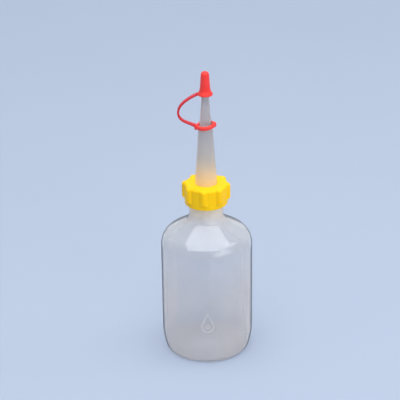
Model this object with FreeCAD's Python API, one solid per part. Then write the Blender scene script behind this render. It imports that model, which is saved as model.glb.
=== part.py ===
"""Glue applicator bottle: a round squeeze bottle with a screw collar that
clamps a long tapered nozzle, and a captive tip cap on a strap and ring.

Units are millimetres, +Z is up.  The origin is the centre of the base on the
surface that the bottle stands on.  The strap lies on the -X side.
"""
import FreeCAD, Part
import math
import os
from FreeCAD import Vector as V

os.makedirs("parts", exist_ok=True)

# ---------------------------------------------------------------- dimensions
# bottle body, blow moulded
BODY_R = 31.25            # outside radius of the body
BODY_WALL = 1.0           # wall of the body and shoulder
HEEL_Z = 16.3             # the body starts to draw in below this height
HEEL_SWEEP_R = 47.8       # large radius of the drawn-in heel
HEEL_R = 3.0              # small corner radius at the base
PUSHUP_R = 19.0           # inner edge of the standing ring
PUSHUP_H = 1.7            # rise of the hollow base at its centre
BASE_WALL = 1.3
SHOULDER_Z = 79.16        # top of the cylindrical wall
SHOULDER_R = 12.32        # corner radius between wall and shoulder
SHOULDER_SLOPE = 32.1     # shoulder cone, degrees above horizontal
SHOULDER_FILLET = 7.16    # hollow fillet between shoulder and neck
NECK_R = 11.37            # outside of the neck, root of the thread
NECK_BORE_R = 9.70
NECK_TOP = 120.75

# right-hand thread, 25 mm nominal
PITCH = 3.5
TURNS = 1.5
THREAD_R = 12.40          # crest on the bottle
THREAD_ROOT_W = 2.0
THREAD_CREST_W = 1.0
THREAD_Z0 = 113.90        # centre of the thread at its lower end
COLLAR_ROOT_R = 12.75     # bore of the collar
COLLAR_CREST_R = 11.75    # crest of the collar's thread
COLLAR_ROOT_W = 1.6
COLLAR_CREST_W = 0.8
COLLAR_THREAD_Z0 = THREAD_Z0 - PITCH / 2 + 0.36

# screw collar with eight grip lobes
COLLAR_BOTTOM = 110.25
COLLAR_TOP = 124.80
COLLAR_R = 14.65          # skirt between the lobes
COLLAR_PLATE_Z = 122.35   # underside of the top plate
COLLAR_HOLE_FIT = 0.06    # radial clearance of the tapered hole on the cone
COLLAR_EDGE = 1.8         # rounding of the top edge
LOBES = 8
LOBE_PHASE = 262.5        # azimuth of one lobe, degrees
LOBE_C = 13.95            # radius of the lobe centres
LOBE_R = 2.60
LOBE_FILLET = 0.7
LOBE_BOTTOM = 113.4
LOBE_TIP_R = LOBE_C + LOBE_R

# nozzle
FLANGE_R = 11.50
FLANGE_Z0 = 120.80
FLANGE_Z1 = 122.30
PLUG_R = 9.65
PLUG_BORE_R = 8.00
PLUG_BOTTOM = 117.00
CONE_BASE_R = 7.62        # cone at the top of the flange
CONE_STEP_R = 4.86        # lower cone where it meets the ring seat
CONE_STEP_Z = 163.00
SEAT_R = 4.30             # upper cone at the ring seat
SEAT_Z = 163.60
KNEE_R = 2.45             # upper cone where its taper slackens
KNEE_Z = 186.50
TIP_R = 1.60
TIP_Z = 201.45
ORIFICE_R = 0.80
NOZZLE_WALL = 1.1

# tip cap
CAP_Z0 = 188.65           # mouth of the cap
CAP_Z1 = 205.10           # top of the dome
CAP_LIP_R = 5.15
CAP_FIT = 0.06            # radial clearance on the nozzle
CAP_PIN_R = 0.70
CAP_PIN_L = 2.5

# retaining ring, tilted towards the strap
RING_Z = 166.45
RING_TILT = 7.5
RING_BORE_R = 4.70
RING_R = 6.50
RING_H = 2.7

LUG_R = 1.8               # rounded tab opposite the strap
LUG_X = 5.55
LUG_H = 3.2

# strap
STRAP_W = 3.2
STRAP_T = 1.4


# ------------------------------------------------------------------- helpers
def p(r, z):
    return V(r, 0, z)


def seg(a, b):
    return Part.makeLine(a, b)


def arc3(a, m, b):
    return Part.Arc(a, m, b).toShape()


def arc_c(cx, cz, r, a0, a1):
    """Arc in the XZ plane about (cx, cz), angles in degrees from +X to +Z."""
    def q(a):
        t = math.radians(a)
        return V(cx + r * math.cos(t), 0, cz + r * math.sin(t))
    return arc3(q(a0), q((a0 + a1) / 2.0), q(a1))


def spin(edges):
    """Turn a closed profile in the XZ plane into a solid about Z."""
    w = Part.Wire(edges)
    f = Part.Face(w)
    s = f.revolve(V(0, 0, 0), V(0, 0, 1), 360)
    if s.Volume < 0:
        s.reverse()
    return s


def poly(points):
    pts = [p(*q) for q in points]
    return [seg(pts[i], pts[(i + 1) % len(pts)]) for i in range(len(pts))]


def one(shape, name):
    solids = shape.Solids
    if len(solids) != 1:
        raise RuntimeError("%s has %d solids" % (name, len(solids)))
    s = solids[0]
    if not s.isValid():
        raise RuntimeError("%s is not valid" % name)
    return s


def thread(z0, root_r, crest_r, root_w, crest_w, sink):
    """Right-hand thread of TURNS turns; `sink` roots it in the wall."""
    helix = Part.makeHelix(PITCH, PITCH * TURNS, root_r)
    s = 1.0 if crest_r > root_r else -1.0
    prof = [V(root_r - s * sink, 0, -root_w / 2), V(root_r, 0, -root_w / 2),
            V(crest_r, 0, -crest_w / 2), V(crest_r, 0, crest_w / 2),
            V(root_r, 0, root_w / 2), V(root_r - s * sink, 0, root_w / 2)]
    wire = Part.makePolygon(prof + [prof[0]])
    sw = Part.Wire(helix.Edges).makePipeShell([wire], True, True)
    if sw.Volume < 0:
        sw.reverse()
    sw.translate(V(0, 0, z0))
    return sw


nodes = {}

# -------------------------------------------------------------------- bottle
phi = math.degrees(math.asin((HEEL_Z - HEEL_R) / (HEEL_SWEEP_R - HEEL_R)))
sweep_c = (BODY_R - HEEL_SWEEP_R, HEEL_Z)
heel_r = sweep_c[0] + HEEL_SWEEP_R * math.cos(math.radians(phi)) \
    - HEEL_R * math.cos(math.radians(phi))
sh_c = (BODY_R - SHOULDER_R, SHOULDER_Z)
sl = math.radians(SHOULDER_SLOPE)
up = 90.0 - SHOULDER_SLOPE                     # direction of the cone's normal
fil_r = NECK_R + SHOULDER_FILLET               # centre of the hollow fillet
# height of the fillet centre: the cone line is tangent to both circles
nx, nz = math.sin(sl), math.cos(sl)
d0 = sh_c[0] * nx + sh_c[1] * nz + SHOULDER_R
fil_z = (d0 + SHOULDER_FILLET - fil_r * nx) / nz


def shell_profile(t, base_t, neck_r, top):
    """Outer profile for t = 0, inner profile for t = wall."""
    e = []
    e.append(arc_c(heel_r, HEEL_R, HEEL_R - t if t == 0 else HEEL_R - t,
                   -90, -phi))
    e.append(arc_c(sweep_c[0], sweep_c[1], HEEL_SWEEP_R - t, -phi, 0))
    e.append(seg(p(BODY_R - t, HEEL_Z), p(BODY_R - t, SHOULDER_Z)))
    e.append(arc_c(sh_c[0], sh_c[1], SHOULDER_R - t, 0, up))
    a = e[-1].Vertexes[-1].Point
    fr = SHOULDER_FILLET + t
    b = V(fil_r - fr * nx, 0, fil_z - fr * nz)
    e.append(seg(a, b))
    e.append(arc_c(fil_r, fil_z, fr, 180 + up, 180))
    return e


outer = shell_profile(0, 0, NECK_R, NECK_TOP)
o_end = p(NECK_R, fil_z)
dome = arc3(p(0, PUSHUP_H), p(PUSHUP_R / 2.0, PUSHUP_H * 0.74), p(PUSHUP_R, 0))
floor = seg(p(PUSHUP_R, 0), p(heel_r, 0))
solid_outer = spin([dome, floor] + outer +
                   [seg(o_end, p(NECK_R, NECK_TOP - 0.3)),
                    seg(p(NECK_R, NECK_TOP - 0.3), p(NECK_R - 0.3, NECK_TOP)),
                    seg(p(NECK_R - 0.3, NECK_TOP), p(0, NECK_TOP)),
                    seg(p(0, NECK_TOP), p(0, PUSHUP_H))])
inner = shell_profile(BODY_WALL, 0, NECK_BORE_R, NECK_TOP)
i_end = p(fil_r - SHOULDER_FILLET - BODY_WALL, fil_z)
i_dome = arc3(p(0, PUSHUP_H + BASE_WALL),
              p(PUSHUP_R / 2.0, PUSHUP_H * 0.74 + BASE_WALL),
              p(PUSHUP_R, BODY_WALL))
solid_inner = spin([i_dome, seg(p(PUSHUP_R, BODY_WALL), p(heel_r, BODY_WALL))] +
                   inner +
                   [seg(i_end, p(NECK_BORE_R, fil_z + 2.2)),
                    seg(p(NECK_BORE_R, fil_z + 2.2),
                        p(NECK_BORE_R, NECK_TOP + 1)),
                    seg(p(NECK_BORE_R, NECK_TOP + 1), p(0, NECK_TOP + 1)),
                    seg(p(0, NECK_TOP + 1), p(0, PUSHUP_H + BASE_WALL))])
neck_thread = thread(THREAD_Z0, NECK_R, THREAD_R, THREAD_ROOT_W,
                     THREAD_CREST_W, 0.4)
bottle = solid_outer.cut(solid_inner).fuse(neck_thread)
nodes["bottle"] = one(bottle, "bottle")

# -------------------------------------------------------------------- collar
F = COLLAR_R + LOBE_FILLET
G = LOBE_R + LOBE_FILLET
alpha = math.acos((LOBE_C ** 2 + F ** 2 - G ** 2) / (2 * LOBE_C * F))


def lobed_outline(z):
    """Closed outline of the skirt with its grip lobes at height z."""
    edges = []
    step = 2 * math.pi / LOBES

    def pol(r, a):
        return V(r * math.cos(a), r * math.sin(a), z)

    for i in range(LOBES):
        a = math.radians(LOBE_PHASE) + i * step
        c = pol(LOBE_C, a)
        f0, f1 = pol(F, a - alpha), pol(F, a + alpha)
        b0, b1 = pol(COLLAR_R, a - alpha), pol(COLLAR_R, a + alpha)
        t0 = c + (f0 - c) * (LOBE_R / G)
        t1 = c + (f1 - c) * (LOBE_R / G)
        m0 = (b0 + t0) * 0.5
        m0 = f0 + (m0 - f0).normalize() * LOBE_FILLET
        m1 = (b1 + t1) * 0.5
        m1 = f1 + (m1 - f1).normalize() * LOBE_FILLET
        edges.append(arc3(b0, m0, t0))
        edges.append(arc3(t0, pol(LOBE_TIP_R, a), t1))
        edges.append(arc3(t1, m1, b1))
        nb = pol(COLLAR_R, a + step - alpha)
        edges.append(arc3(b1, pol(COLLAR_R, a + step / 2), nb))
    return Part.Face(Part.Wire(edges))


grip = lobed_outline(LOBE_BOTTOM - 1.5).extrude(
    V(0, 0, COLLAR_TOP - LOBE_BOTTOM + 1.5))
grip = grip.makeFillet(COLLAR_EDGE, [e for e in grip.Edges
                                     if e.BoundBox.ZMin > COLLAR_TOP - 0.01])
skirt = Part.makeCylinder(COLLAR_R, COLLAR_TOP - COLLAR_EDGE - COLLAR_BOTTOM,
                          V(0, 0, COLLAR_BOTTOM))
# the lobes are trimmed by a turned envelope that rounds their lower ends
env = spin([seg(p(0, LOBE_BOTTOM - 2), p(COLLAR_R - 0.3, LOBE_BOTTOM - 2)),
            seg(p(COLLAR_R - 0.3, LOBE_BOTTOM - 2),
                p(COLLAR_R - 0.3, LOBE_BOTTOM)),
            seg(p(COLLAR_R - 0.3, LOBE_BOTTOM), p(COLLAR_R, LOBE_BOTTOM)),
            arc3(p(COLLAR_R, LOBE_BOTTOM),
                 p(LOBE_TIP_R - 1.9 * (1 - math.sin(math.radians(45))),
                   LOBE_BOTTOM + 1.9 * (1 - math.cos(math.radians(45)))),
                 p(LOBE_TIP_R, LOBE_BOTTOM + 1.9)),
            seg(p(LOBE_TIP_R, LOBE_BOTTOM + 1.9), p(LOBE_TIP_R, COLLAR_TOP - 1)),
            seg(p(LOBE_TIP_R, COLLAR_TOP - 1), p(LOBE_TIP_R + 1, COLLAR_TOP - 1)),
            seg(p(LOBE_TIP_R + 1, COLLAR_TOP - 1), p(LOBE_TIP_R + 1, COLLAR_TOP + 1)),
            seg(p(LOBE_TIP_R + 1, COLLAR_TOP + 1), p(0, COLLAR_TOP + 1)),
            seg(p(0, COLLAR_TOP + 1), p(0, LOBE_BOTTOM - 2))])
collar = grip.common(env).fuse(skirt)


def hole_r(z):
    """Tapered hole of the top plate, which follows the nozzle's cone."""
    t = (z - FLANGE_Z1) / (CONE_STEP_Z - FLANGE_Z1)
    return CONE_BASE_R + t * (CONE_STEP_R - CONE_BASE_R) + COLLAR_HOLE_FIT


# hollow: threaded bore, top plate hole, small lead-in at the mouth
hollow = spin(poly([(0, COLLAR_BOTTOM - 1), (COLLAR_ROOT_R + 0.6, COLLAR_BOTTOM - 1),
                    (COLLAR_ROOT_R + 0.6, COLLAR_BOTTOM),
                    (COLLAR_ROOT_R, COLLAR_BOTTOM + 0.6),
                    (COLLAR_ROOT_R, COLLAR_PLATE_Z),
                    (hole_r(COLLAR_PLATE_Z), COLLAR_PLATE_Z),
                    (hole_r(COLLAR_TOP - 0.2), COLLAR_TOP - 0.2),
                    (hole_r(COLLAR_TOP - 0.2) + 0.2, COLLAR_TOP),
                    (hole_r(COLLAR_TOP - 0.2) + 0.2, COLLAR_TOP + 1),
                    (0, COLLAR_TOP + 1)]))
collar = collar.cut(hollow)
collar = collar.fuse(thread(COLLAR_THREAD_Z0, COLLAR_ROOT_R, COLLAR_CREST_R,
                            COLLAR_ROOT_W, COLLAR_CREST_W, 0.4))
nodes["screw_collar"] = one(collar, "screw_collar")

# -------------------------------------------------------------------- nozzle
nozzle_out = [(PLUG_BORE_R, PLUG_BOTTOM), (PLUG_R - 0.35, PLUG_BOTTOM),
              (PLUG_R, PLUG_BOTTOM + 1.2), (PLUG_R, FLANGE_Z0),
              (FLANGE_R, FLANGE_Z0), (FLANGE_R, FLANGE_Z1),
              (CONE_BASE_R, FLANGE_Z1), (CONE_STEP_R, CONE_STEP_Z),
              (SEAT_R, SEAT_Z), (KNEE_R, KNEE_Z), (TIP_R, TIP_Z - 0.15),
              (TIP_R - 0.15, TIP_Z), (ORIFICE_R, TIP_Z)]
w = NOZZLE_WALL
nozzle_in = [(ORIFICE_R, TIP_Z - 5.0), (KNEE_R - w + 0.1, KNEE_Z),
             (SEAT_R - w, SEAT_Z), (CONE_STEP_R - w, CONE_STEP_Z - 2.0),
             (CONE_BASE_R - w, FLANGE_Z0), (PLUG_BORE_R, FLANGE_Z0 - 1.6)]
nozzle = spin(poly(nozzle_out + nozzle_in))
nodes["nozzle"] = one(nozzle, "nozzle")


def nozzle_r(z):
    """Outside radius of the nozzle at height z above its ring seat."""
    if z < KNEE_Z:
        t = (z - SEAT_Z) / (KNEE_Z - SEAT_Z)
        return SEAT_R + t * (KNEE_R - SEAT_R)
    t = (z - KNEE_Z) / (TIP_Z - 0.15 - KNEE_Z)
    return KNEE_R + t * (TIP_R - KNEE_R)


# ------------------------------------------------------------------- tip cap
# bell-shaped mouth, tapered grip and domed end
cav_top = TIP_Z + 0.08
bell = [p(CAP_LIP_R - 0.35, CAP_Z0), p(CAP_LIP_R, CAP_Z0 + 0.35),
        p(CAP_LIP_R, CAP_Z0 + 0.75)]
flare = Part.BSplineCurve()
flare.interpolate([p(CAP_LIP_R, CAP_Z0 + 0.75), p(4.62, CAP_Z0 + 1.60),
                   p(3.98, CAP_Z0 + 2.70), p(3.64, CAP_Z0 + 4.0),
                   p(3.40, CAP_Z0 + 5.6), p(3.12, CAP_Z0 + 9.2),
                   p(2.90, CAP_Z0 + 13.0)])
cap_edges = [arc3(bell[0], p(CAP_LIP_R - 0.1, CAP_Z0 + 0.1), bell[1]),
             seg(bell[1], bell[2]), flare.toShape()]
d_end = p(2.90, CAP_Z0 + 13.0)
dome_curve = Part.BSplineCurve()
dome_curve.interpolate([d_end, p(2.74, CAP_Z0 + 14.4), p(2.25, CAP_Z1 - 0.88),
                        p(1.25, CAP_Z1 - 0.24), p(0, CAP_Z1)])
cap_edges += [dome_curve.toShape(), seg(p(0, CAP_Z1), p(0, CAP_Z0)),
              seg(p(0, CAP_Z0), bell[0])]
cap_solid = spin(cap_edges)
cap_cavity = spin(poly([
    (CAP_PIN_R, TIP_Z - CAP_PIN_L + 0.3), (CAP_PIN_R, cav_top),
    (TIP_R + CAP_FIT, cav_top),
    (nozzle_r(CAP_Z0 + 1.2) + CAP_FIT, CAP_Z0 + 1.2),
    (nozzle_r(CAP_Z0 + 1.2) + 0.9, CAP_Z0 - 0.5),
    (0, CAP_Z0 - 0.5), (0, TIP_Z - CAP_PIN_L),
    (CAP_PIN_R - 0.3, TIP_Z - CAP_PIN_L)]))
tip_cap = cap_solid.cut(cap_cavity)
nodes["tip_cap"] = one(tip_cap, "tip_cap")

# ------------------------------------------------------------ retaining ring
hh = RING_H / 2.0
rr = 0.85
ring = spin([seg(p(RING_BORE_R, -hh + 0.3), p(RING_BORE_R, hh - 0.3)),
             seg(p(RING_BORE_R, hh - 0.3), p(RING_BORE_R + 0.3, hh)),
             seg(p(RING_BORE_R + 0.3, hh), p(RING_R - rr, hh)),
             arc_c(RING_R - rr, hh - rr, rr, 90, 0),
             seg(p(RING_R, hh - rr), p(RING_R, -hh + rr)),
             arc_c(RING_R - rr, -hh + rr, rr, 0, -90),
             seg(p(RING_R - rr, -hh), p(RING_BORE_R + 0.3, -hh)),
             seg(p(RING_BORE_R + 0.3, -hh), p(RING_BORE_R, -hh + 0.3))])
tilt = FreeCAD.Placement(V(0, 0, RING_Z),
                         FreeCAD.Rotation(V(0, 1, 0), -RING_TILT))
tab = Part.makeCylinder(LUG_R, LUG_H, V(LUG_X, 0, -LUG_H / 2))
root = Part.makeBox(2.6, STRAP_W + 0.6, LUG_H,
                    V(-RING_R - 1.1, -STRAP_W / 2 - 0.3, -LUG_H / 2))
tab = tab.makeFillet(0.8, [e for e in tab.Edges if e.Curve.TypeId == "Part::GeomCircle"])
root = root.makeFillet(0.7, root.Edges)
bore = Part.makeCylinder(RING_BORE_R, RING_H + 2, V(0, 0, -hh - 1))
ring = ring.fuse(tab.cut(bore)).fuse(root.cut(bore))
ring.Placement = tilt
nodes["tether_ring"] = one(ring, "tether_ring")

# --------------------------------------------------------------------- strap
# centre line in the XZ plane from the ring to the lip of the cap
strap_pts = [(-7.0, 166.75), (-9.8, 167.95), (-12.4, 169.10),
             (-14.9, 170.4), (-16.8, 172.3), (-17.9, 174.8),
             (-17.8, 177.8), (-16.4, 180.9), (-14.0, 183.6),
             (-11.0, 185.9), (-7.9, 187.8), (-4.9, 189.4)]
ca = math.radians(RING_TILT)
centre = [V(x, 0, z) for x, z in strap_pts]
normals = []
for i in range(len(centre)):
    a = centre[max(i - 1, 0)]
    b = centre[min(i + 1, len(centre) - 1)]
    t = (b - a).normalize()
    normals.append(V(-t.z, 0, t.x))
side0 = [c + n * (STRAP_T / 2) for c, n in zip(centre, normals)]
side1 = [c - n * (STRAP_T / 2) for c, n in zip(centre, normals)]
c0 = Part.BSplineCurve()
c0.interpolate(side0)
c1 = Part.BSplineCurve()
c1.interpolate(side1)
sw = Part.Wire([c0.toShape(), seg(side0[-1], side1[-1]), c1.toShape(),
                seg(side1[0], side0[0])])
strap = Part.Face(sw).extrude(V(0, STRAP_W, 0))
strap.translate(V(0, -STRAP_W / 2, 0))
if strap.Volume < 0:
    strap.reverse()
ring_block = Part.makeCylinder(RING_R, RING_H + 4, V(0, 0, -hh - 2)).fuse(
    Part.makeBox(2.6, STRAP_W + 2, RING_H + 4,
                 V(-RING_R - 1.1, -STRAP_W / 2 - 1, -hh - 2)))
ring_block.Placement = tilt
strap = strap.cut(ring_block)
lip = Part.makeCylinder(CAP_LIP_R + 0.12, 6, V(0, 0, CAP_Z0 - 2))
strap = strap.cut(lip)
nodes["tether_strap"] = one(strap, "tether_strap")

# -------------------------------------------------------------------- output
for name, shape in nodes.items():
    shape.exportStep("parts/%s.step" % name)
    bb = shape.BoundBox
    print("%-14s vol %9.2f mm3  x %.2f %.2f  y %.2f %.2f  z %.2f %.2f" % (
        name, shape.Volume, bb.XMin, bb.XMax, bb.YMin, bb.YMax,
        bb.ZMin, bb.ZMax))
length = sum((centre[i + 1] - centre[i]).Length for i in range(len(centre) - 1))
print("strap length %.1f mm" % length)
room = solid_inner.common(Part.makeCylinder(60, NECK_TOP))
print("capacity to the brim %.0f ml" % (room.Volume / 1000.0))
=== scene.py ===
import math
import bpy
import numpy as np
from mathutils import Matrix, Vector, Euler


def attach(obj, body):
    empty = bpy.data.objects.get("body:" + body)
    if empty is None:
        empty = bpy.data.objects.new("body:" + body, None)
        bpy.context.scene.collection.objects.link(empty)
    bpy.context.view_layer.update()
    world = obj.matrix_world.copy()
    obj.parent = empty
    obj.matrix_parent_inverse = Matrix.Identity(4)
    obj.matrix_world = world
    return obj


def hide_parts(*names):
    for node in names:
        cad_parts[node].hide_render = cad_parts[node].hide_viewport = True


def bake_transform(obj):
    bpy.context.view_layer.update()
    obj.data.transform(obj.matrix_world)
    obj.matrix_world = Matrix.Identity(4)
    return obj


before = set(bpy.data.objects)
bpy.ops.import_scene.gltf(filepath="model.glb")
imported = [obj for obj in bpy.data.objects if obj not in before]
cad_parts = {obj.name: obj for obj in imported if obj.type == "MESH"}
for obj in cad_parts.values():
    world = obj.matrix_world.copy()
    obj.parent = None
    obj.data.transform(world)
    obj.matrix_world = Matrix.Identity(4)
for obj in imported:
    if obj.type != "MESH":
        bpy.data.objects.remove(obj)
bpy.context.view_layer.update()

MM = 0.001
sc = bpy.context.scene


# ------------------------------------------------------------------ mesh tools
def make_mesh(name, verts_mm, faces, smooth=True, sharp_deg=None):
    me = bpy.data.meshes.new(name)
    me.from_pydata((np.asarray(verts_mm) * MM).tolist(), [], faces)
    me.validate(clean_customdata=False)
    me.update()
    ob = bpy.data.objects.new(name, me)
    sc.collection.objects.link(ob)
    if smooth:
        me.polygons.foreach_set("use_smooth", [True] * len(me.polygons))
        if sharp_deg is not None:
            me.set_sharp_from_angle(angle=math.radians(sharp_deg))
    return ob


def grid_faces(nr, nc, closed_rows=False, flip=False):
    """Quads of a grid of nr rows by nc columns, closed round the columns."""
    f = []
    rows = nr if closed_rows else nr - 1
    for i in range(rows):
        a = i * nc
        b = ((i + 1) % nr) * nc
        for j in range(nc):
            k = (j + 1) % nc
            q = (a + j, a + k, b + k, b + j)
            f.append(q[::-1] if flip else q)
    return f


def smooth_path(points, step):
    """Points along a polyline, no further apart than step, corners kept."""
    out = [points[0]]
    for (r0, z0), (r1, z1) in zip(points[:-1], points[1:]):
        n = max(1, int(math.ceil(math.hypot(r1 - r0, z1 - z0) / step)))
        for i in range(1, n + 1):
            t = i / n
            out.append((r0 + (r1 - r0) * t, z0 + (z1 - z0) * t))
    return out


def arc_pts(cx, cz, r, a0, a1, n):
    return [(cx + r * math.cos(math.radians(a0 + (a1 - a0) * i / n)),
             cz + r * math.sin(math.radians(a0 + (a1 - a0) * i / n)))
            for i in range(n + 1)]


def dedupe(pts, eps=1e-4):
    out = [pts[0]]
    for q in pts[1:]:
        if math.hypot(q[0] - out[-1][0], q[1] - out[-1][1]) > eps:
            out.append(q)
    return out


def round_corners(points, radii, n=6, closed=True):
    """Rounds each corner of a polygon in the (r, z) plane by its own radius."""
    m = len(points)
    out = []
    for i in range(m):
        p0 = np.array(points[(i - 1) % m], float)
        p1 = np.array(points[i], float)
        p2 = np.array(points[(i + 1) % m], float)
        rad = radii[i]
        if rad <= 0 or (not closed and i in (0, m - 1)):
            out.append(tuple(p1))
            continue
        a = p0 - p1
        b = p2 - p1
        la, lb = np.linalg.norm(a), np.linalg.norm(b)
        a /= la
        b /= lb
        ang = math.acos(max(-1, min(1, float(a @ b))))
        if ang > math.pi - 0.02:
            out.append(tuple(p1))
            continue
        t = min(rad / math.tan(ang / 2), la * 0.48, lb * 0.48)
        r_eff = t * math.tan(ang / 2)
        bis = (a + b) / np.linalg.norm(a + b)
        c = p1 + bis * (r_eff / math.sin(ang / 2))
        s = p1 + a * t - c
        e = p1 + b * t - c
        a0 = math.atan2(s[1], s[0])
        a1 = math.atan2(e[1], e[0])
        d = (a1 - a0 + math.pi) % (2 * math.pi) - math.pi
        for k in range(n + 1):
            th = a0 + d * k / n
            out.append((c[0] + r_eff * math.cos(th), c[1] + r_eff * math.sin(th)))
    return out


def lathe(name, prof, n, closed=True, centre=None, frame_m=None, sharp=None):
    """Turns a profile of (r, z) about Z. A closed profile makes a closed skin."""
    prof = dedupe(list(prof))
    if closed and math.hypot(prof[0][0] - prof[-1][0],
                             prof[0][1] - prof[-1][1]) < 1e-4:
        prof = prof[:-1]
    th = np.linspace(0, 2 * math.pi, n, endpoint=False)
    verts, ring_of, faces = [], [], []
    for r, z in prof:
        if r < 1e-6:
            ring_of.append((len(verts),))
            verts.append((0, 0, z))
        else:
            ring_of.append(tuple(range(len(verts), len(verts) + n)))
            verts.extend(zip(r * np.cos(th), r * np.sin(th), [z] * n))
    m = len(prof)
    for i in range(m if closed else m - 1):
        a, b = ring_of[i], ring_of[(i + 1) % m]
        if len(a) == 1 and len(b) == 1:
            continue
        for j in range(n):
            k = (j + 1) % n
            if len(a) == 1:
                faces.append((a[0], b[k], b[j]))
            elif len(b) == 1:
                faces.append((a[j], a[k], b[0]))
            else:
                faces.append((a[j], a[k], b[k], b[j]))
    v = np.array(verts, float)
    if frame_m is not None:
        v = v @ np.array(frame_m)[:3, :3].T + np.array(frame_m)[:3, 3]
    return make_mesh(name, v, faces, sharp_deg=sharp)


def fix_normals(ob):
    import bmesh
    bm = bmesh.new()
    bm.from_mesh(ob.data)
    bmesh.ops.recalc_face_normals(bm, faces=bm.faces)
    bm.to_mesh(ob.data)
    bm.free()


def sstep(x):
    x = np.clip(x, 0.0, 1.0)
    return x * x * (3 - 2 * x)


# ------------------------------------------------------------------- materials
def new_mat(name):
    m = bpy.data.materials.new(name)
    m.use_nodes = True
    nt = m.node_tree
    nt.nodes.clear()
    out = nt.nodes.new("ShaderNodeOutputMaterial")
    return m, nt, out


def coords(nt, scale=(1, 1, 1)):
    tc = nt.nodes.new("ShaderNodeTexCoord")
    mp = nt.nodes.new("ShaderNodeMapping")
    mp.inputs["Scale"].default_value = scale
    nt.links.new(tc.outputs["Object"], mp.inputs["Vector"])
    return mp.outputs["Vector"]


def noise(nt, vec, scale, detail=3.0, rough=0.5):
    n = nt.nodes.new("ShaderNodeTexNoise")
    n.inputs["Scale"].default_value = scale
    n.inputs["Detail"].default_value = detail
    n.inputs["Roughness"].default_value = rough
    nt.links.new(vec, n.inputs["Vector"])
    return n.outputs["Fac"]


def ramp(nt, fac, stops):
    r = nt.nodes.new("ShaderNodeValToRGB")
    el = r.color_ramp.elements
    while len(el) < len(stops):
        el.new(0.5)
    for e, (pos, col) in zip(el, stops):
        e.position = pos
        e.color = col if len(col) == 4 else (*col, 1)
    nt.links.new(fac, r.inputs["Fac"])
    return r.outputs["Color"]


def vary(nt, fac, lo, hi, a=0.3, b=0.7):
    m = nt.nodes.new("ShaderNodeMapRange")
    m.inputs["From Min"].default_value = a
    m.inputs["From Max"].default_value = b
    m.inputs["To Min"].default_value = lo
    m.inputs["To Max"].default_value = hi
    nt.links.new(fac, m.inputs["Value"])
    return m.outputs["Result"]


def bump(nt, height, strength, dist, normal=None):
    b = nt.nodes.new("ShaderNodeBump")
    b.inputs["Strength"].default_value = strength
    b.inputs["Distance"].default_value = dist
    nt.links.new(height, b.inputs["Height"])
    if normal is not None:
        nt.links.new(normal, b.inputs["Normal"])
    return b.outputs["Normal"]


def height_ramp(nt, z0, z1, stops):
    """Colour or value by height in metres; as colour it carries painted light and shade
    along the wall.
    """
    tc = nt.nodes.new("ShaderNodeTexCoord")
    sp = nt.nodes.new("ShaderNodeSeparateXYZ")
    nt.links.new(tc.outputs["Object"], sp.inputs["Vector"])
    m = nt.nodes.new("ShaderNodeMapRange")
    m.inputs["From Min"].default_value = z0
    m.inputs["From Max"].default_value = z1
    nt.links.new(sp.outputs["Z"], m.inputs["Value"])
    return ramp(nt, m.outputs["Result"],
                [((z - z0) / (z1 - z0), col) for z, col in stops])


def edge_ramp(nt, stops):
    """Value by how edge-on the wall is seen: the light crosses more plastic there; it also
    drives the painted dark edge line.
    """
    lw = nt.nodes.new("ShaderNodeLayerWeight")
    lw.inputs["Blend"].default_value = 0.5
    return ramp(nt, lw.outputs["Facing"], stops)


def grey(v):
    return (v, v, v)


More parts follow.
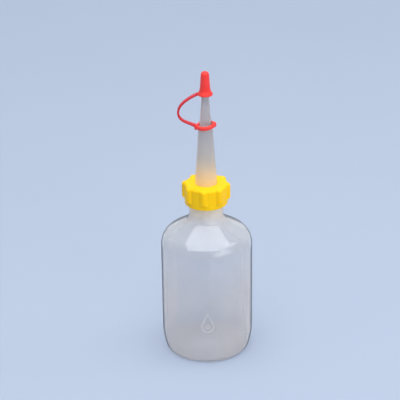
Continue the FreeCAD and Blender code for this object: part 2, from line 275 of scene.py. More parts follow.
def translucent_plastic(name, clear, milk_share, rim, thick, milk_with_painted_light, rough, coat,
                        coat_rough, lamp_tint, streak, ior=1.5):
    """Unpigmented polyethylene: a clear share, a milky share that passes light
    on scattered, and a soft gloss over both."""
    m, nt, out = new_mat(name)
    p = nt.nodes.new("ShaderNodeBsdfPrincipled")
    v1 = coords(nt)
    v2 = coords(nt, (1, 1, 0.06))
    cloud = noise(nt, v1, 45, 3)
    flow = noise(nt, v2, 90, 2)
    fine = noise(nt, v1, 1500, 2)
    nt.links.new(edge_ramp(nt, clear), p.inputs["Base Color"])
    nt.links.new(vary(nt, cloud, rough - 0.03, rough + 0.04),
                 p.inputs["Roughness"])
    n1 = bump(nt, flow, streak, 0.0004)
    n2 = bump(nt, fine, 0.06, 0.00008, n1)
    nt.links.new(n2, p.inputs["Normal"])
    nt.links.new(n1, p.inputs["Coat Normal"])
    p.inputs["IOR"].default_value = ior
    p.inputs["Transmission Weight"].default_value = 1.0
    p.inputs["Coat Weight"].default_value = coat
    p.inputs["Coat Roughness"].default_value = coat_rough
    p.inputs["Coat IOR"].default_value = 1.5
    tl = nt.nodes.new("ShaderNodeBsdfTranslucent")
    nt.links.new(height_ramp(nt, *milk_with_painted_light), tl.inputs["Color"])
    nt.links.new(n1, tl.inputs["Normal"])
    df = nt.nodes.new("ShaderNodeBsdfDiffuse")
    nt.links.new(height_ramp(nt, *milk_with_painted_light), df.inputs["Color"])
    nt.links.new(n1, df.inputs["Normal"])
    both = nt.nodes.new("ShaderNodeMixShader")
    nt.links.new(vary(nt, cloud, 0.42, 0.58), both.inputs["Fac"])
    nt.links.new(tl.outputs["BSDF"], both.inputs[1])
    nt.links.new(df.outputs["BSDF"], both.inputs[2])
    # soft upright streaks where the wall was drawn out unevenly
    sk = nt.nodes.new("ShaderNodeMixShader")
    nt.links.new(vary(nt, flow, 0.0, 0.10), sk.inputs["Fac"])
    nt.links.new(p.outputs["BSDF"], sk.inputs[1])
    nt.links.new(both.outputs["Shader"], sk.inputs[2])
    mk = nt.nodes.new("ShaderNodeMixShader")
    nt.links.new(edge_ramp(nt, milk_share), mk.inputs["Fac"])
    nt.links.new(sk.outputs["Shader"], mk.inputs[1])
    nt.links.new(both.outputs["Shader"], mk.inputs[2])
    tk = nt.nodes.new("ShaderNodeMixShader")
    nt.links.new(height_ramp(nt, *thick), tk.inputs["Fac"])
    # painted shade: where the wall is seen edge-on a dark diffuse is mixed in, a painted
    # dark line along the silhouette
    painted_edge_dark = nt.nodes.new("ShaderNodeBsdfDiffuse")
    painted_edge_dark.inputs["Color"].default_value = (0.10, 0.105, 0.12, 1)
    painted_edge_mix = nt.nodes.new("ShaderNodeMixShader")
    nt.links.new(edge_ramp(nt, rim), painted_edge_mix.inputs["Fac"])
    nt.links.new(mk.outputs["Shader"], painted_edge_mix.inputs[1])
    nt.links.new(painted_edge_dark.outputs["BSDF"], painted_edge_mix.inputs[2])
    nt.links.new(painted_edge_mix.outputs["Shader"], tk.inputs[1])
    nt.links.new(both.outputs["Shader"], tk.inputs[2])
    tr = nt.nodes.new("ShaderNodeBsdfTransparent")
    tr.inputs["Color"].default_value = (*lamp_tint, 1)
    lp = nt.nodes.new("ShaderNodeLightPath")
    mx = nt.nodes.new("ShaderNodeMixShader")
    nt.links.new(lp.outputs["Is Shadow Ray"], mx.inputs["Fac"])
    nt.links.new(tk.outputs["Shader"], mx.inputs[1])
    nt.links.new(tr.outputs["BSDF"], mx.inputs[2])
    nt.links.new(mx.outputs["Shader"], out.inputs["Surface"])
    return m


def solid_plastic(name, col_a, col_b, rough, coat, coat_rough, sss,
                  sss_radius, grain=0.12, spec=0.5):
    """Pigmented injection-moulded plastic with a slightly uneven gloss."""
    m, nt, out = new_mat(name)
    p = nt.nodes.new("ShaderNodeBsdfPrincipled")
    v1 = coords(nt)
    cloud = noise(nt, v1, 90, 4)
    peel = noise(nt, v1, 420, 2)
    fine = noise(nt, v1, 2600, 2)
    nt.links.new(ramp(nt, cloud, [(0.3, col_a), (0.7, col_b)]),
                 p.inputs["Base Color"])
    nt.links.new(vary(nt, peel, rough - 0.05, rough + 0.06),
                 p.inputs["Roughness"])
    n1 = bump(nt, peel, grain, 0.00012)
    n2 = bump(nt, fine, 0.10, 0.00004, n1)
    nt.links.new(n2, p.inputs["Normal"])
    p.inputs["IOR"].default_value = 1.5
    p.inputs["Specular IOR Level"].default_value = spec
    p.inputs["Coat Weight"].default_value = coat
    p.inputs["Coat Roughness"].default_value = coat_rough
    if sss > 0:
        p.inputs["Subsurface Weight"].default_value = sss
        p.inputs["Subsurface Radius"].default_value = sss_radius
        p.inputs["Subsurface Scale"].default_value = 0.0015
    nt.links.new(p.outputs["BSDF"], out.inputs["Surface"])
    return m


# clear tint by how edge-on the wall is seen; the two darkest stops are painted shade along
# the silhouette edge
LDPE_CLEAR = [(0.0, (0.805, 0.815, 0.838)), (0.25, (0.815, 0.820, 0.838)),
              (0.42, (0.86, 0.85, 0.845)),
              (0.60, (0.84, 0.82, 0.80)), (0.72, (0.90, 0.89, 0.88)),
              (0.82, (0.50, 0.50, 0.52)), (1.0, (0.20, 0.20, 0.22))]
LDPE_SHARE = [(0.0, grey(0.085)), (0.15, grey(0.09)), (0.36, grey(0.21)),
              (0.56, grey(0.23)), (0.70, grey(0.30)), (0.78, grey(0.10))]
# painted shade: share of the dark diffuse edge line by how edge-on the wall is seen
LDPE_PAINTED_EDGE_SHADE = [(0.0, grey(0.0)), (0.755, grey(0.0)), (0.80, grey(0.60)),
            (1.0, grey(0.80))]
LDPE_THICK = (0.0, 0.125, [(0.0, grey(0.0)), (0.096, grey(0.0)),
                           (0.105, grey(0.50)), (0.112, grey(0.70))])
# milky colour by height, with painted light and shade: painted shade darkens the foot,
# painted light makes the shoulder lighter and bluer, and a painted warm glow from the
# yellow collar tints the neck
LDPE_MILK_AND_PAINTED_LIGHT = (0.0, 0.125, [(0.0, (0.60, 0.56, 0.54)), (0.006, (0.74, 0.70, 0.67)),
                          (0.020, (0.90, 0.85, 0.82)), (0.050, (0.86, 0.82, 0.80)),
                          (0.078, (0.87, 0.91, 0.97)), (0.092, (0.92, 0.95, 0.99)),
                          (0.100, (1.0, 0.95, 0.90)), (0.110, (1.0, 0.92, 0.76))])
ldpe = translucent_plastic("natural_ldpe", LDPE_CLEAR, LDPE_SHARE, LDPE_PAINTED_EDGE_SHADE,
                           LDPE_THICK, LDPE_MILK_AND_PAINTED_LIGHT, 0.12, 0.6, 0.05, (0.90, 0.90, 0.91), 0.05)
# the raised mould mark is thicker plastic, so it looks milkier
ldpe_mark = translucent_plastic("natural_ldpe_mark", LDPE_CLEAR,
                                [(0.0, grey(0.42)), (0.8, grey(0.42))], LDPE_PAINTED_EDGE_SHADE,
                                LDPE_THICK, (0.0, 0.125, [
                                    (0.0, (0.98, 0.96, 0.96)),
                                    (1.0, (0.98, 0.96, 0.96))]),
                                0.12, 0.6, 0.05, (0.90, 0.90, 0.91), 0.05)
spout = translucent_plastic(
    "nozzle_pe",
    # clear tint by facing; the last stop is a painted dark edge
    [(0.0, (0.79, 0.78, 0.785)), (0.6, (0.86, 0.845, 0.84)),
     (0.9, (0.66, 0.65, 0.66))],
    [(0.0, grey(0.22)), (0.32, grey(0.30)), (0.6, grey(0.42)),
     (0.9, grey(0.42))],
    # painted shade: dark diffuse edge line
    [(0.0, grey(0.0)), (0.80, grey(0.0)), (0.90, grey(0.25))],
    (0.115, 0.205, [(0.118, grey(0.60)), (0.128, grey(0.45)), (0.140, grey(0.08)),
                    (0.148, grey(0.0))]),
    # painted light: near the collar the milky colour turns warm yellow, a painted glow from
    # the yellow collar
    (0.115, 0.205, [(0.118, (1.0, 0.80, 0.40)), (0.1275, (1.0, 0.80, 0.47)),
                    (0.133, (0.90, 0.74, 0.52)), (0.139, (0.78, 0.70, 0.58)),
                    (0.146, (0.70, 0.67, 0.62)), (0.156, (0.67, 0.645, 0.65)),
                    (0.205, (0.63, 0.59, 0.62))]),
    0.32, 0.45, 0.14, (0.86, 0.86, 0.86), 0.05)
yellow = solid_plastic("yellow_pe", (0.99, 0.565, 0.0), (1.0, 0.625, 0.0),
                       0.42, 0.05, 0.16, 0.08, (1.0, 0.6, 0.1), 0.10, 0.20)
red = solid_plastic("red_pe", (0.86, 0.034, 0.026), (0.93, 0.042, 0.034),
                    0.36, 0.15, 0.16, 0.08, (1.0, 0.25, 0.2), 0.10, 0.45)
# painted shade: a darker copy of the red plastic for the strap, which is the same moulding
# as the ring
red_band_painted_shade = solid_plastic("red_pe_band_painted_shade", (0.58, 0.020, 0.030),
                         (0.66, 0.028, 0.040), 0.42, 0.15, 0.16, 0.05,
                         (1.0, 0.25, 0.2), 0.10, 0.35)

# ---------------------------------------------------------------------- bottle
BODY_R, WALL = 31.25, 1.0
HEEL_Z, HEEL_SW, HEEL_R = 16.3, 47.8, 3.0
PUSH_R, PUSH_H, BASE_WALL = 19.0, 1.7, 1.3
SH_Z, SH_R, SH_SLOPE, FIL_R = 79.16, 12.32, 32.1, 7.16
NECK_R, BORE_R, NECK_TOP = 11.37, 9.70, 120.75
PITCH, TURNS, TH_R, TH_Z0 = 3.5, 1.5, 12.40, 113.90
TH_ROOT, TH_CREST = 2.0, 1.0

phi = math.degrees(math.asin((HEEL_Z - HEEL_R) / (HEEL_SW - HEEL_R)))
sw_c = (BODY_R - HEEL_SW, HEEL_Z)
heel_r = sw_c[0] + (HEEL_SW - HEEL_R) * math.cos(math.radians(phi))
sh_c = (BODY_R - SH_R, SH_Z)
nx, nz = math.sin(math.radians(SH_SLOPE)), math.cos(math.radians(SH_SLOPE))
fil_cr = NECK_R + FIL_R
fil_cz = (sh_c[0] * nx + sh_c[1] * nz + SH_R + FIL_R - fil_cr * nx) / nz


def body_profile(t):
    """Wall line from the foot to the start of the neck, t inside the skin."""
    up = 90 - SH_SLOPE
    a = arc_pts(heel_r, HEEL_R, HEEL_R - t, -90, -phi, 8)
    a += arc_pts(sw_c[0], sw_c[1], HEEL_SW - t, -phi, 0, 16)
    a += smooth_path([(BODY_R - t, HEEL_Z), (BODY_R - t, SH_Z)], 1.2)
    a += arc_pts(sh_c[0], sh_c[1], SH_R - t, 0, up, 18)
    fr = FIL_R + t
    a += smooth_path([a[-1], (fil_cr - fr * nx, fil_cz - fr * nz)], 1.2)
    a += arc_pts(fil_cr, fil_cz, fr, 180 + up, 180, 12)
    return dedupe(a, 0.01)


def thread_height(z, th, z0, root_w, crest_w, depth, pitch, turns):
    """Height of a right-hand trapezoidal thread above its root."""
    best = np.zeros(np.broadcast(z, th).shape)
    run_out = 0.35
    for k in range(int(math.ceil(turns)) + 1):
        ang = th + 2 * math.pi * k
        inside = (ang <= 2 * math.pi * turns)
        zc = z0 + pitch * ang / (2 * math.pi)
        d = np.abs(z - zc)
        h = np.clip((root_w / 2 - d) / ((root_w - crest_w) / 2), 0, 1) * depth
        lead = sstep(ang / run_out) * sstep((2 * math.pi * turns - ang) / run_out)
        best = np.maximum(best, np.where(inside, h * lead, 0))
    return best


def bottle_mesh():
    # columns: even, with extra ones at the parting lines and the front relief
    th = set(np.round(np.linspace(0, 360, 180, endpoint=False), 3))
    for c in (0.0, 180.0):
        for d in (-1.0, -0.7, -0.4, -0.15, 0.15, 0.4, 0.7, 1.0):
            th.add(round((c + d) % 360, 3))
    for d in np.arange(-11, 11.01, 0.5):
        th.add(round((270.0 + d) % 360, 3))
    th = np.array(sorted(th))
    keep = [0]
    for i in range(1, len(th)):
        if th[i] - th[keep[-1]] > 0.12:
            keep.append(i)
    th = np.radians(th[keep])
    nc = len(th)
    # outer rows
    op = body_profile(0.0)
    fine_z = (21.0, 44.0)
    rows = []
    for q0, q1 in zip(op[:-1], op[1:]):
        rows.append(q0)
        if fine_z[0] < q0[1] < fine_z[1]:
            n = max(1, int(math.ceil(abs(q1[1] - q0[1]) / 0.32)))
            rows += [(q0[0] + (q1[0] - q0[0]) * i / n,
                      q0[1] + (q1[1] - q0[1]) * i / n) for i in range(1, n)]
    rows.append(op[-1])
    base = [(0.0, PUSH_H)] + [
        (r, PUSH_H * (1 - (r / PUSH_R) ** 2)) for r in np.linspace(2, PUSH_R, 12)]
    base += smooth_path([(PUSH_R, 0), (heel_r, 0)], 2.0)[1:]
    neck = smooth_path([rows[-1], (NECK_R, 111.8)], 1.0)[1:]
    neck += smooth_path([(NECK_R, 111.8), (NECK_R, NECK_TOP - 0.45)], 0.18)[1:]
    lip = arc_pts(NECK_R - 0.45, NECK_TOP - 0.45, 0.45, 0, 90, 5)[1:]
    rim = smooth_path([lip[-1], (BORE_R + 0.3, NECK_TOP)], 0.5)[1:]
    lip_in = arc_pts(BORE_R + 0.3, NECK_TOP - 0.3, 0.3, 90, 180, 4)[1:]
    ip = body_profile(WALL)
    inner_neck = smooth_path([(BORE_R, NECK_TOP - 0.3), (BORE_R, fil_cz + 2.2)],
                             1.5)[1:]
    ip2 = ip[::-1]
    inner = inner_neck + smooth_path([inner_neck[-1], ip2[0]], 1.0)[1:] + ip2[1:]
    ibase = smooth_path([(heel_r, WALL), (PUSH_R, WALL)], 2.0)[1:]
    ibase += [(r, WALL + (PUSH_H + BASE_WALL - WALL) * (1 - (r / PUSH_R) ** 2))
              for r in np.linspace(PUSH_R, 2, 12)[1:]] + [(0.0, PUSH_H + BASE_WALL)]
    prof = dedupe(base + rows[1:] + neck + lip + rim + lip_in + inner + ibase, 0.02)
    n_out = len(dedupe(base + rows[1:] + neck + lip, 0.02))
    P = np.array(prof)
    R = np.repeat(P[:, 0][:, None], nc, 1)
    Z = np.repeat(P[:, 1][:, None], nc, 1)
    T = np.repeat(th[None, :], len(P), 0)
    outer_row = (np.arange(len(P)) < n_out)[:, None]
    # thread on the outside of the neck
    hgt = thread_height(Z, T, TH_Z0, TH_ROOT, TH_CREST, TH_R - NECK_R, PITCH, TURNS)
    on_neck = outer_row & (Z > 112.0) & (Z < NECK_TOP - 0.3)
    R = R + np.where(on_neck, hgt, 0)
    # parting line of the mould at +X and -X, from the lower neck down the shoulder and body
    # to the heel
    dang = np.minimum(np.abs(T), np.minimum(np.abs(T - math.pi),
                                            np.abs(T - 2 * math.pi)))
    arc = dang * np.maximum(R, 1.0)
    bead = np.clip(1 - arc / 0.42, 0, 1) * 0.07
    R = R + np.where(outer_row & (Z > 6) & (Z < 111), bead * sstep((Z - 6) / 4), 0)
    # raised droplet outline low on the front, a plain mould mark
    u = ((T - math.radians(270.0)) * BODY_R)
    w = Z - 32.0
    a, top = 4.6, 12.2
    cy = -1.8
    def drop(sc_):
        r_ = a * sc_
        circ = np.hypot(u, w - cy) - r_
        tip = cy + (top - a) * 1.0 * sc_ + r_ * 0.45
        ht = np.clip((w - cy) / np.maximum(tip - cy, 1e-3), 0, 1)
        half = r_ * np.sqrt(np.clip(1 - ht, 0, 1)) * (1 - 0.25 * ht)
        cone = np.abs(u) - half
        return np.where(w > cy, np.maximum(cone, (w - tip)), circ)
    d = drop(1.0)
    line = np.clip(1 - np.abs(d + 0.45) / 0.5, 0, 1)
    dot = np.clip(1 - np.abs(np.hypot(u, w - cy) - 1.2) / 0.45, 0, 1)
    rel = np.maximum(sstep(line), sstep(dot)) * 0.30
    front = outer_row & (np.abs(T - math.radians(270.0)) < math.radians(10)) \
        & (Z > 22) & (Z < 43)
    R = R + np.where(front, rel, 0)
    # blow-moulded wall: the inside is slightly uneven
    inner_row = (~outer_row) & (Z < 100) & (Z > 6)
    wob = 0.07 * np.sin(2 * T + 0.05 * Z) + 0.05 * np.sin(3 * T - 0.11 * Z + 1.0) \
        + 0.03 * np.sin(7 * T + 0.07 * Z)
    R = R - np.where(inner_row, np.abs(wob), 0)
    X = R * np.cos(T)
    Y = R * np.sin(T)
    verts, faces, start = [], [], []
    for i in range(len(P)):
        if P[i, 0] < 1e-6:
            start.append((len(verts), 1))
            verts.append((0, 0, P[i, 1]))
        else:
            start.append((len(verts), nc))
            verts.extend(zip(X[i], Y[i], Z[i]))
    for i in range(len(P) - 1):
        (s0, n0), (s1, n1) = start[i], start[i + 1]
        for j in range(nc):
            k = (j + 1) % nc
            if n0 == 1:
                faces.append((s0, s1 + k, s1 + j))
            elif n1 == 1:
                faces.append((s0 + j, s0 + k, s1))
            else:
                faces.append((s0 + j, s0 + k, s1 + k, s1 + j))
    ob = make_mesh("bottle_shell", verts, faces, sharp_deg=50)
    fix_normals(ob)
    raised = np.zeros(len(verts), bool)
    for i in range(len(P)):
        if start[i][1] == nc:
            raised[start[i][0]:start[i][0] + nc] = (rel[i] > 0.10) & front[i]
    ob.data.materials.append(ldpe)
    ob.data.materials.append(ldpe_mark)
    for q in ob.data.polygons:
        if sum(bool(raised[v]) for v in q.vertices) >= 3:
            q.material_index = 1
    return ob


bottle = bottle_mesh()
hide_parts("bottle")
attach(bottle, "bottle")

# ---------------------------------------------------------------------- nozzle
W = 1.1
noz = [(8.00, 117.00), (9.30, 117.00), (9.65, 118.20), (9.65, 120.80),
       (11.50, 120.80), (11.50, 122.30), (7.62, 122.30), (4.86, 163.00),
       (4.30, 163.60), (2.45, 186.50), (1.60, 201.30), (1.45, 201.45),
       (0.80, 201.45), (0.80, 196.45), (1.45, 186.50), (3.20, 163.60),
       (3.76, 161.00), (6.52, 120.80), (8.00, 119.20)]
rad = [0.15, 0.2, 0.4, 0.1, 0.15, 0.3, 0.05, 0.35, 0.2, 9.0, 0.1, 0.12, 0.15, 1.0,
       9.0, 2.0, 2.0, 2.0, 0.5]
noz_r = round_corners(noz, rad, 6)
noz_r = smooth_path(noz_r + [noz_r[0]], 3.0)
nozzle = lathe("nozzle_spout", noz_r, 96, sharp=45)
fix_normals(nozzle)
nozzle.data.materials.append(spout)
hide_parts("nozzle")
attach(nozzle, "nozzle")

# ---------------------------------------------------------------------- collar
C_BOT, C_TOP, C_R, PLATE = 110.25, 124.80, 14.65, 122.35
HOLE_R, EDGE, LOBES, PHASE = 7.53, 1.8, 8, math.radians(262.5)
HOLE_LOW = 7.68
L_C, L_R, L_F, L_BOT = 13.95, 2.60, 0.7, 113.4
CR_ROOT, CR_CREST = 12.75, 11.75
CZ0 = TH_Z0 - PITCH / 2 + 0.36
F_, G_ = C_R + L_F, L_R + L_F
alpha = math.acos((L_C ** 2 + F_ ** 2 - G_ ** 2) / (2 * L_C * F_))


def lobe_radius(th):
    """Radius of the lobed outline in direction th, root fillets included."""
    step = 2 * math.pi / LOBES
    a = np.abs((th - PHASE + step / 2) % step - step / 2)
    r = np.full(a.shape, C_R)
    # convex crest: circle of radius L_R about (L_C, 0)
    s = L_C * np.sin(a)
    crest = L_C * np.cos(a) + np.sqrt(np.clip(L_R ** 2 - s ** 2, 0, None))
    # concave root: circle of radius L_F about F_ at angle alpha
    b = alpha - a
    s2 = F_ * np.sin(b)
    root = F_ * np.cos(b) - np.sqrt(np.clip(L_F ** 2 - s2 ** 2, 0, None))
    fx, fy = F_ * math.cos(alpha), F_ * math.sin(alpha)
    tx, ty = L_C + (fx - L_C) * L_R / G_, fy * L_R / G_
    a_t = math.atan2(ty, tx)
    r = np.where(a <= a_t, crest, np.where(a < alpha, root, r))
    return r


def collar_mesh():
    n = 384
    th = np.linspace(0, 2 * math.pi, n, endpoint=False) + PHASE
    Ro = lobe_radius(th)
    rows = []

    def row(r, z):
        rows.append((np.broadcast_to(r, th.shape).astype(float),
                     np.broadcast_to(z, th.shape).astype(float)))

    # hole edge, then the top plate out to the rounded lobed edge
    e = 0.2
    for k in range(5):
        t = math.radians(180 - 90 * k / 4)
        row(HOLE_R + e + e * math.cos(t), C_TOP - e + e * math.sin(t))
    inner_r = HOLE_R + e
    ed = EDGE
    for u in np.linspace(0.12, 1, 8):
        row(inner_r + (Ro - ed - inner_r) * u, C_TOP)
    for k in range(1, 9):
        t = math.radians(90 - 90 * k / 8)
        row(Ro - ed + ed * math.cos(t), C_TOP - ed + ed * math.sin(t))
    # side: lobes run out into the skirt with rounded lower ends
    z_hi, z_lo = C_TOP - ed, C_BOT + 0.45
    drop = 2.0
    for z in np.concatenate([np.linspace(z_hi - 0.6, L_BOT + drop, 12),
                             L_BOT + drop * (1 - np.sin(np.linspace(
                                 0, math.pi / 2, 13)))[1:-1],
                             [L_BOT + 0.001, L_BOT - 0.25],
                             np.linspace(L_BOT - 0.5, z_lo, 5)]):
        h = Ro - C_R
        if z < L_BOT + drop:
            t = np.clip((z - L_BOT) / drop, 0, 1)
            lim = (L_C + L_R - C_R) * math.sqrt(max(0.0, 1 - (1 - t) ** 2))
            h = np.minimum(h, lim) if lim > 0 else h * 0
            h = h * sstep(np.array(min(1.0, t * 4 + 0.0001)))
        row(C_R + h, z)
    for k in range(1, 6):
        t = math.radians(-90 * k / 5)
        row(C_R - 0.45 + 0.45 * math.cos(t), C_BOT + 0.45 + 0.45 * math.sin(t))
    # mouth, threaded bore, underside of the plate
    row(CR_ROOT + 0.75, C_BOT)
    row(CR_ROOT + 0.6, C_BOT + 0.08)
    row(CR_ROOT, C_BOT + 0.7)
    zs = np.arange(C_BOT + 0.85, 119.0, 0.18)
    for z in zs:
        hh = thread_height(np.full(th.shape, z), th % (2 * math.pi), CZ0, 1.6, 0.8,
                           CR_ROOT - CR_CREST, PITCH, TURNS)
        row(CR_ROOT - hh, z)
    for z in (119.5, 120.5, 121.5, PLATE - 0.3):
        row(CR_ROOT, z)
    row(CR_ROOT - 0.3, PLATE)
    row(10.5, PLATE)
    row(HOLE_LOW + 0.05, PLATE)
    row(HOLE_LOW, PLATE + 0.05)
    row((HOLE_LOW + HOLE_R) / 2, (PLATE + C_TOP) / 2)
    nr = len(rows)
    R = np.array([q[0] for q in rows])
    Z = np.array([q[1] for q in rows])
    V3 = np.stack([R * np.cos(th), R * np.sin(th), Z], -1).reshape(-1, 3)
    ob = make_mesh("collar_shell", V3, grid_faces(nr, n, closed_rows=True),
                   sharp_deg=50)
    fix_normals(ob)
    return ob


collar = collar_mesh()
collar.data.materials.append(yellow)
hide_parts("screw_collar")
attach(collar, "screw_collar")


# --------------------------------------------------------------------- tip cap
def catmull(pts, n):
    P = [np.array(q, float) for q in pts]
    P = [2 * P[0] - P[1]] + P + [2 * P[-1] - P[-2]]
    out = []
    for i in range(1, len(P) - 2):
        for k in range(n):
            t = k / n
            out.append(tuple(0.5 * ((2 * P[i]) + (-P[i - 1] + P[i + 1]) * t
                       + (2 * P[i - 1] - 5 * P[i] + 4 * P[i + 1] - P[i + 2]) * t ** 2
                       + (-P[i - 1] + 3 * P[i] - 3 * P[i + 1] + P[i + 2]) * t ** 3)))
    out.append(tuple(P[-2]))
    return out


T_Z0, T_Z1, LIP_R = 188.65, 205.10, 5.15


def nozzle_r(z):
    if z < 186.5:
        return 4.30 + (z - 163.60) / 22.90 * (2.45 - 4.30)
    return 2.45 + (z - 186.5) / (201.30 - 186.5) * (1.60 - 2.45)


outer = arc_pts(LIP_R - 0.42, T_Z0 + 0.42, 0.42, -90, 20, 7)
outer += catmull([outer[-1], (4.62, T_Z0 + 1.60), (3.98, T_Z0 + 2.70),
                  (3.64, T_Z0 + 4.0), (3.40, T_Z0 + 5.6), (3.12, T_Z0 + 9.2),
                  (2.90, T_Z0 + 13.0), (2.74, T_Z0 + 14.4), (2.25, T_Z1 - 0.88),
                  (1.25, T_Z1 - 0.24), (0.0, T_Z1)], 6)[1:]
outer[-1] = (0.0, T_Z1)
zc = T_Z0 + 1.2
inner = [(0.0, 198.95), (0.4, 198.97), (0.62, 199.10), (0.70, 199.35), (0.70, 201.45),
         (0.75, 201.53), (1.55, 201.53), (1.66, 201.40),
         (nozzle_r(196) + 0.06, 196), (nozzle_r(zc) + 0.06, zc),
         (nozzle_r(zc) + 0.2, zc - 0.4), (nozzle_r(zc) + 0.75, T_Z0 + 0.15),
         (nozzle_r(zc) + 0.95, T_Z0)]
prof = outer[::-1] + smooth_path([outer[0], (inner[-1][0] + 0.01, T_Z0)], 0.5)[1:] \
    + inner[::-1]
prof = dedupe(prof, 0.004)
tip = lathe("tip_cap_shell", prof, 96, closed=False, sharp=50)
fix_normals(tip)
tip.data.materials.append(red)
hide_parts("tip_cap")
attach(tip, "tip_cap")

# -------------------------------------------------------------- retaining ring
RZ, TILT, RB, RO, RH = 166.45, 7.5, 4.70, 6.50, 2.7
LUG_X, LUG_R, LUG_H = 5.55, 1.8, 3.2
STRAP_W, STRAP_T = 3.2, 1.4
ring_m = Matrix.Translation((0, 0, RZ)) @ Matrix.Rotation(math.radians(-TILT), 4, "Y")


def ring_mesh():
    """Ring with a rounded tab on one side and the root of the strap on the
    other, all one moulding.  Both ends stand a little taller than the ring."""
    n = 288
    th = np.linspace(0, 2 * math.pi, n, endpoint=False)
    c, s_ = np.cos(th), np.sin(th)
    # tab: circle of LUG_R about (LUG_X, 0)
    disc = np.clip(LUG_R ** 2 - (LUG_X * s_) ** 2, 0, None)
    tab = np.where((disc > 0) & (c > 0), LUG_X * c + np.sqrt(disc), RO - 1)
    # root of the strap: a block with rounded corners
    ang = np.minimum(np.abs(th - math.pi), 2 * math.pi - np.abs(th - math.pi))
    ww = STRAP_W / 2 + 0.28
    px = 8.0
    block = (np.abs(np.cos(ang) / (RO + 1.08)) ** px
             + np.abs(np.sin(ang) / ww) ** px) ** (-1 / px)
    block = np.where(ang < 0.6, block, RO - 1)

    def soft(a, b, k=0.25):
        h = np.clip(0.5 + 0.5 * (a - b) / k, 0, 1)
        return b * (1 - h) + a * h + k * h * (1 - h)
    Rt = soft(tab, np.full(n, RO))
    Rt = np.minimum(soft(block, Rt), np.where(c > 0, LUG_X + LUG_R, RO + 1.09))
    # the ends stand taller: half height follows the angle
    w1 = 1 - sstep((np.minimum(th, 2 * math.pi - th) * LUG_X - 1.15) / 0.7)
    w2 = 1 - sstep((ang * RO - ww + 0.55) / 1.1)
    half = RH / 2 + (LUG_H - RH) / 2 * np.maximum(w1, w2)
    e, q = 0.3, 0.95
    rows = []
    for k in range(5):
        t = math.radians(180 - 90 * k / 4)
        rows.append((RB + e + e * math.cos(t) + np.zeros(n),
                     half - e + e * math.sin(t)))
    for u in (0.33, 0.67):
        rows.append((RB + e + (Rt - q - RB - e) * u, half))
    for k in range(0, 9):
        t = math.radians(90 - 90 * k / 8)
        rows.append((Rt - q + q * math.cos(t), half - q + q * math.sin(t)))
    rows.append((Rt, half * 0))
    for k in range(0, 9):
        t = math.radians(-90 * k / 8)
        rows.append((Rt - q + q * math.cos(t), -half + q + q * math.sin(t)))
    for u in (0.67, 0.33):
        rows.append((RB + e + (Rt - q - RB - e) * u, -half))
    for k in range(5):
        t = math.radians(-90 - 90 * k / 4)
        rows.append((RB + e + e * math.cos(t) + np.zeros(n),
                     -half + e + e * math.sin(t)))
    for z in (-0.6, 0.0, 0.6):
        rows.append((np.full(n, RB), np.full(n, z)))
    R = np.array([r[0] for r in rows])
    Z = np.array([r[1] for r in rows])
    V3 = np.stack([R * c, R * s_, Z], -1).reshape(-1, 3)
    M = np.array(ring_m)
    V3 = V3 @ M[:3, :3].T + M[:3, 3]
    ob = make_mesh("tether_ring_shell", V3, grid_faces(len(rows), n, True),
                   sharp_deg=60)
    fix_normals(ob)
    return ob


ring = ring_mesh()
ring.data.materials.append(red)
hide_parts("tether_ring")
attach(ring, "tether")

# ----------------------------------------------------------------------- strap
strap_pts = [(-7.0, 166.75), (-9.8, 167.95), (-12.4, 169.10),
             (-14.9, 170.4), (-16.8, 172.3), (-17.9, 174.8),
             (-17.8, 177.8), (-16.4, 180.9), (-14.0, 183.6),
             (-11.0, 185.9), (-7.9, 187.8), (-4.85, 189.4)]


def strap_mesh():
    line = np.array(catmull(strap_pts, 8))
    d = np.gradient(line, axis=0)
    d /= np.linalg.norm(d, axis=1)[:, None]
    nrm = np.stack([-d[:, 1], d[:, 0]], 1)
    s = np.concatenate([[0], np.cumsum(np.linalg.norm(np.diff(line, axis=0), axis=1))])
    total = s[-1]
    a, b = STRAP_W / 2, STRAP_T / 2
    sec = round_corners([(-a, -b), (a, -b), (a, b), (-a, b)], [0.5] * 4, 5)
    sec = np.array(smooth_path(sec + [sec[0]], 0.45)[:-1])
    V3 = []
    for i, (x, z) in enumerate(line):
        # a little thicker where it grows out of the ring
        e0 = 1 - sstep(np.array(s[i] / 4.0))
        e1 = 1 - sstep(np.array((total - s[i]) / 3.5))
        wy = 1 + 0.06 * float(e0) + 0.06 * float(e1)
        wt = 1 + 0.30 * float(e0)
        for u, v in sec:
            V3.append((x + nrm[i, 0] * v * wt, u * wy, z + nrm[i, 1] * v * wt))
    m, k = len(line), len(sec)
    faces = grid_faces(m, k)
    faces.append(tuple(range(k))[::-1])
    faces.append(tuple(range((m - 1) * k, m * k)))
    ob = make_mesh("tether_strap_band", V3, faces, sharp_deg=60)
    fix_normals(ob)
    return ob


strap = strap_mesh()
strap.data.materials.append(red_band_painted_shade)
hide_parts("tether_strap")
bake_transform(strap)

# ------------------------------------------------------------ floor and lights
fm, nt, out = new_mat("studio_floor")
p = nt.nodes.new("ShaderNodeBsdfPrincipled")
v = coords(nt)
nt.links.new(ramp(nt, noise(nt, v, 6, 3), [(0.3, (0.375, 0.438, 0.556)),
                                            (0.7, (0.381, 0.444, 0.562))]),
             p.inputs["Base Color"])
p.inputs["Roughness"].default_value = 0.9
p.inputs["Specular IOR Level"].default_value = 0.1
nt.links.new(p.outputs["BSDF"], out.inputs["Surface"])
fs = 6.0
floor = bpy.data.objects.new("studio_floor", bpy.data.meshes.new("studio_floor"))
floor.data.from_pydata([(-fs, -fs, 0), (fs, -fs, 0), (fs, fs, 0), (-fs, fs, 0)], [],
                       [(0, 1, 2, 3)])
floor.data.materials.append(fm)
sc.collection.objects.link(floor)
floor.location.z = -0.0002

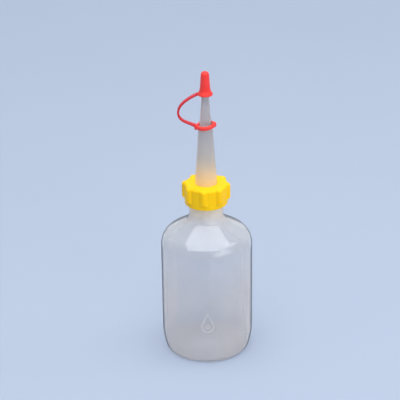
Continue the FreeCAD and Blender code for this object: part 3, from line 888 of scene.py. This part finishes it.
world = bpy.data.worlds.new("studio")
sc.world = world
world.use_nodes = True
bg = world.node_tree.nodes["Background"]
bg.inputs["Color"].default_value = (0.95, 0.97, 1.0, 1)
bg.inputs["Strength"].default_value = 0.60


def area(name, loc, target, sx, sy, power, color=(1, 1, 1)):
    li = bpy.data.lights.new(name, "AREA")
    li.shape = "RECTANGLE"
    li.size, li.size_y = sx, sy
    li.energy = power
    li.color = color
    ob = bpy.data.objects.new(name, li)
    ob.location = loc
    ob.rotation_euler = (Vector(target) - Vector(loc)).to_track_quat(
        "-Z", "Y").to_euler()
    sc.collection.objects.link(ob)
    return ob


KEY_Z, KEY_X, KEY_Y0, KEY_Y1, KEY_W = 1.25, 1.25, -0.95, 0.35, 11.5
area("key_overhead", (0.0, (KEY_Y0 + KEY_Y1) / 2, KEY_Z),
     (0.0, (KEY_Y0 + KEY_Y1) / 2, 0.0), KEY_X, KEY_Y1 - KEY_Y0, KEY_W)
# the softbox flares towards the front; the flare is seen in gloss only
KEY_FLARE = 10
for k in range(KEY_FLARE):
    d = (KEY_Y1 - KEY_Y0) / KEY_FLARE
    y = KEY_Y0 + d * (k + 0.5)
    w = 0.66 * (1.0 - (k + 0.5) / KEY_FLARE)
    if w < 0.02:
        continue
    for sgn in (-1, 1):
        x = sgn * (KEY_X / 2 + w / 2)
        flare = area("key_flare_%d_%s" % (k, "l" if sgn < 0 else "r"),
                     (x, y, KEY_Z), (x, y, 0.0), w, d,
                     KEY_W / (KEY_X * (KEY_Y1 - KEY_Y0)) * w * d)
        flare.visible_diffuse = False
        flare.visible_transmission = False
area("side_right", (1.25, 0.05, 1.60), (0.0, 0.0, 0.1), 0.75, 0.75, 2.6)
fill = area("fill_front", (2.0, -2.1, 1.4), (0.0, 0.0, 0.1), 2.6, 1.6, 36.0)
fill.visible_glossy = False
back = area("fill_back", (0.0, 1.9, 1.7), (0.0, 1.2, 0.0), 2.4, 1.2, 19.5)
back.visible_glossy = False

# ---------------------------------------------------------------------- camera
cam = bpy.data.cameras.new("camera")
cam.lens, cam.sensor_width, cam.sensor_fit = 148.5, 36.0, "HORIZONTAL"
cam.clip_start, cam.clip_end = 0.01, 50
co = bpy.data.objects.new("camera", cam)
sc.collection.objects.link(co)
co.location = (-0.00423, -1.00677, 0.60255)
co.rotation_euler = (Matrix.Rotation(math.radians(64.0), 3, "X")
                     @ Matrix.Rotation(math.radians(-0.72), 3, "Z")).to_euler()
sc.camera = co

sc.view_settings.view_transform = "Standard"
sc.view_settings.look = "None"
sc.cycles.use_denoising = True
sc.cycles.max_bounces = 16
sc.cycles.transmission_bounces = 14
sc.cycles.transparent_max_bounces = 24
